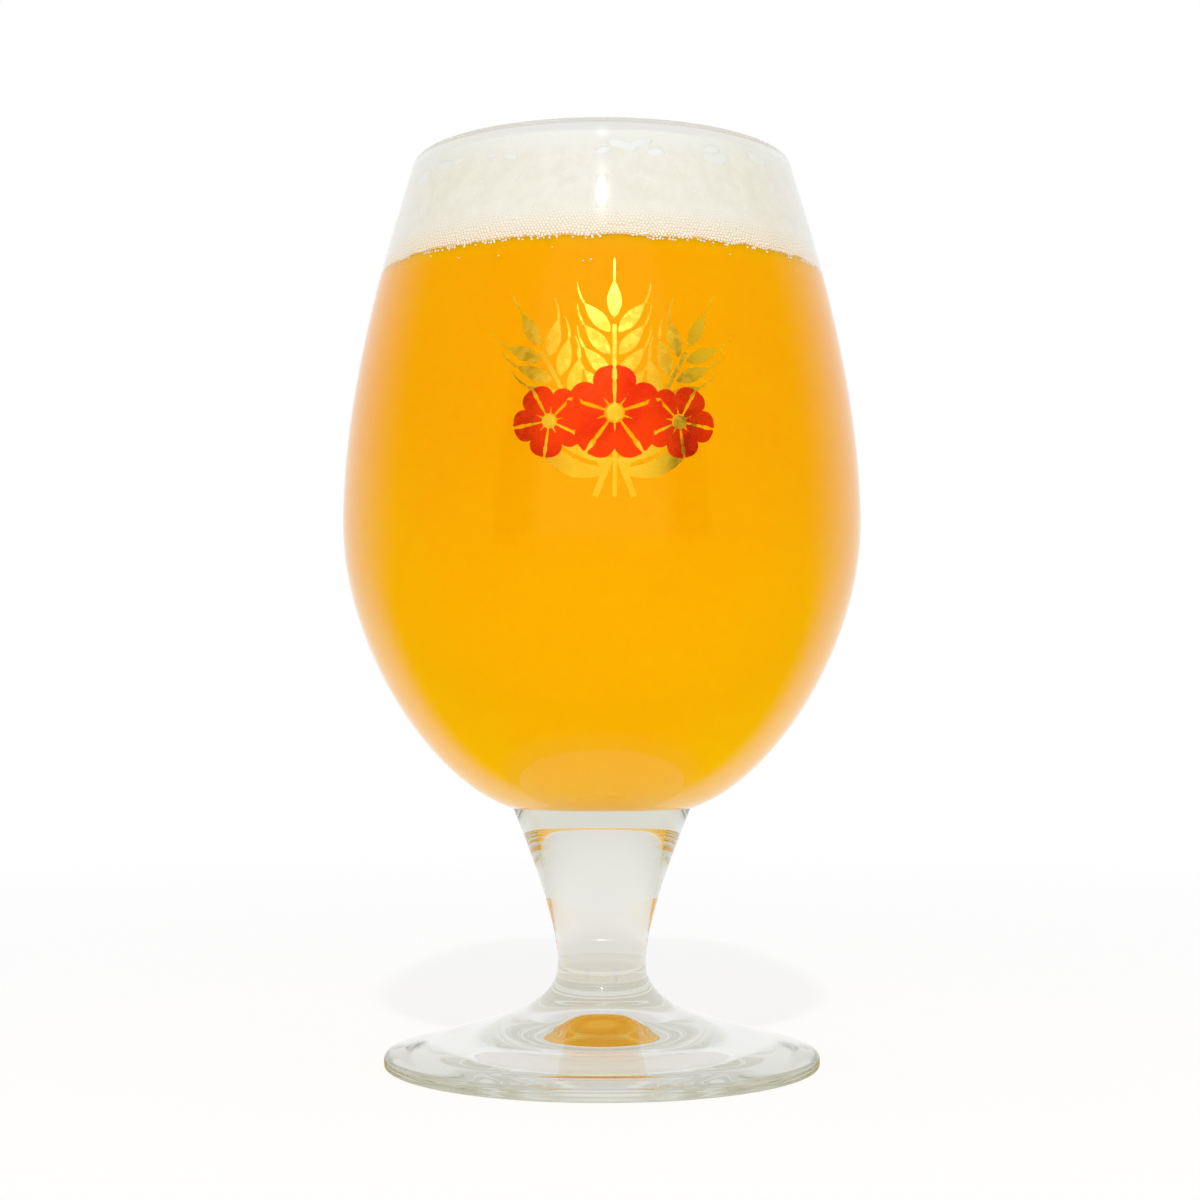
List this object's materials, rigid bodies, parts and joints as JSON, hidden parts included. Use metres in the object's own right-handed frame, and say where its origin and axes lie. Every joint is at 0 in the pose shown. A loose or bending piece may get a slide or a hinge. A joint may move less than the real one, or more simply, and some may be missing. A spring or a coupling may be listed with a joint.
{
  "type": "globe beer glass",
  "caption": "Stemmed globe beer glass: a thin egg-shaped bowl drawn in at the mouth, on a short flared stem and a round foot, shown full of beer under a head of foam.",
  "frame": {"origin": "centre of the plane that the foot stands on", "axes": "+Z along the glass's axis, from the foot up to the mouth"},
  "size_m": [0.0834, 0.0834, 0.145],
  "materials": {
    "clear_glass": "clear, polished",
    "beer": "hazy golden liquid",
    "foam": "fine white bubbles",
    "gold_print": "fired metallic print",
    "red_print": "fired enamel print"
  },
  "bodies": {
    "root": {"bowl": "clear_glass", "stem": "clear_glass", "foot": "clear_glass"}
  },
  "joints": []
}
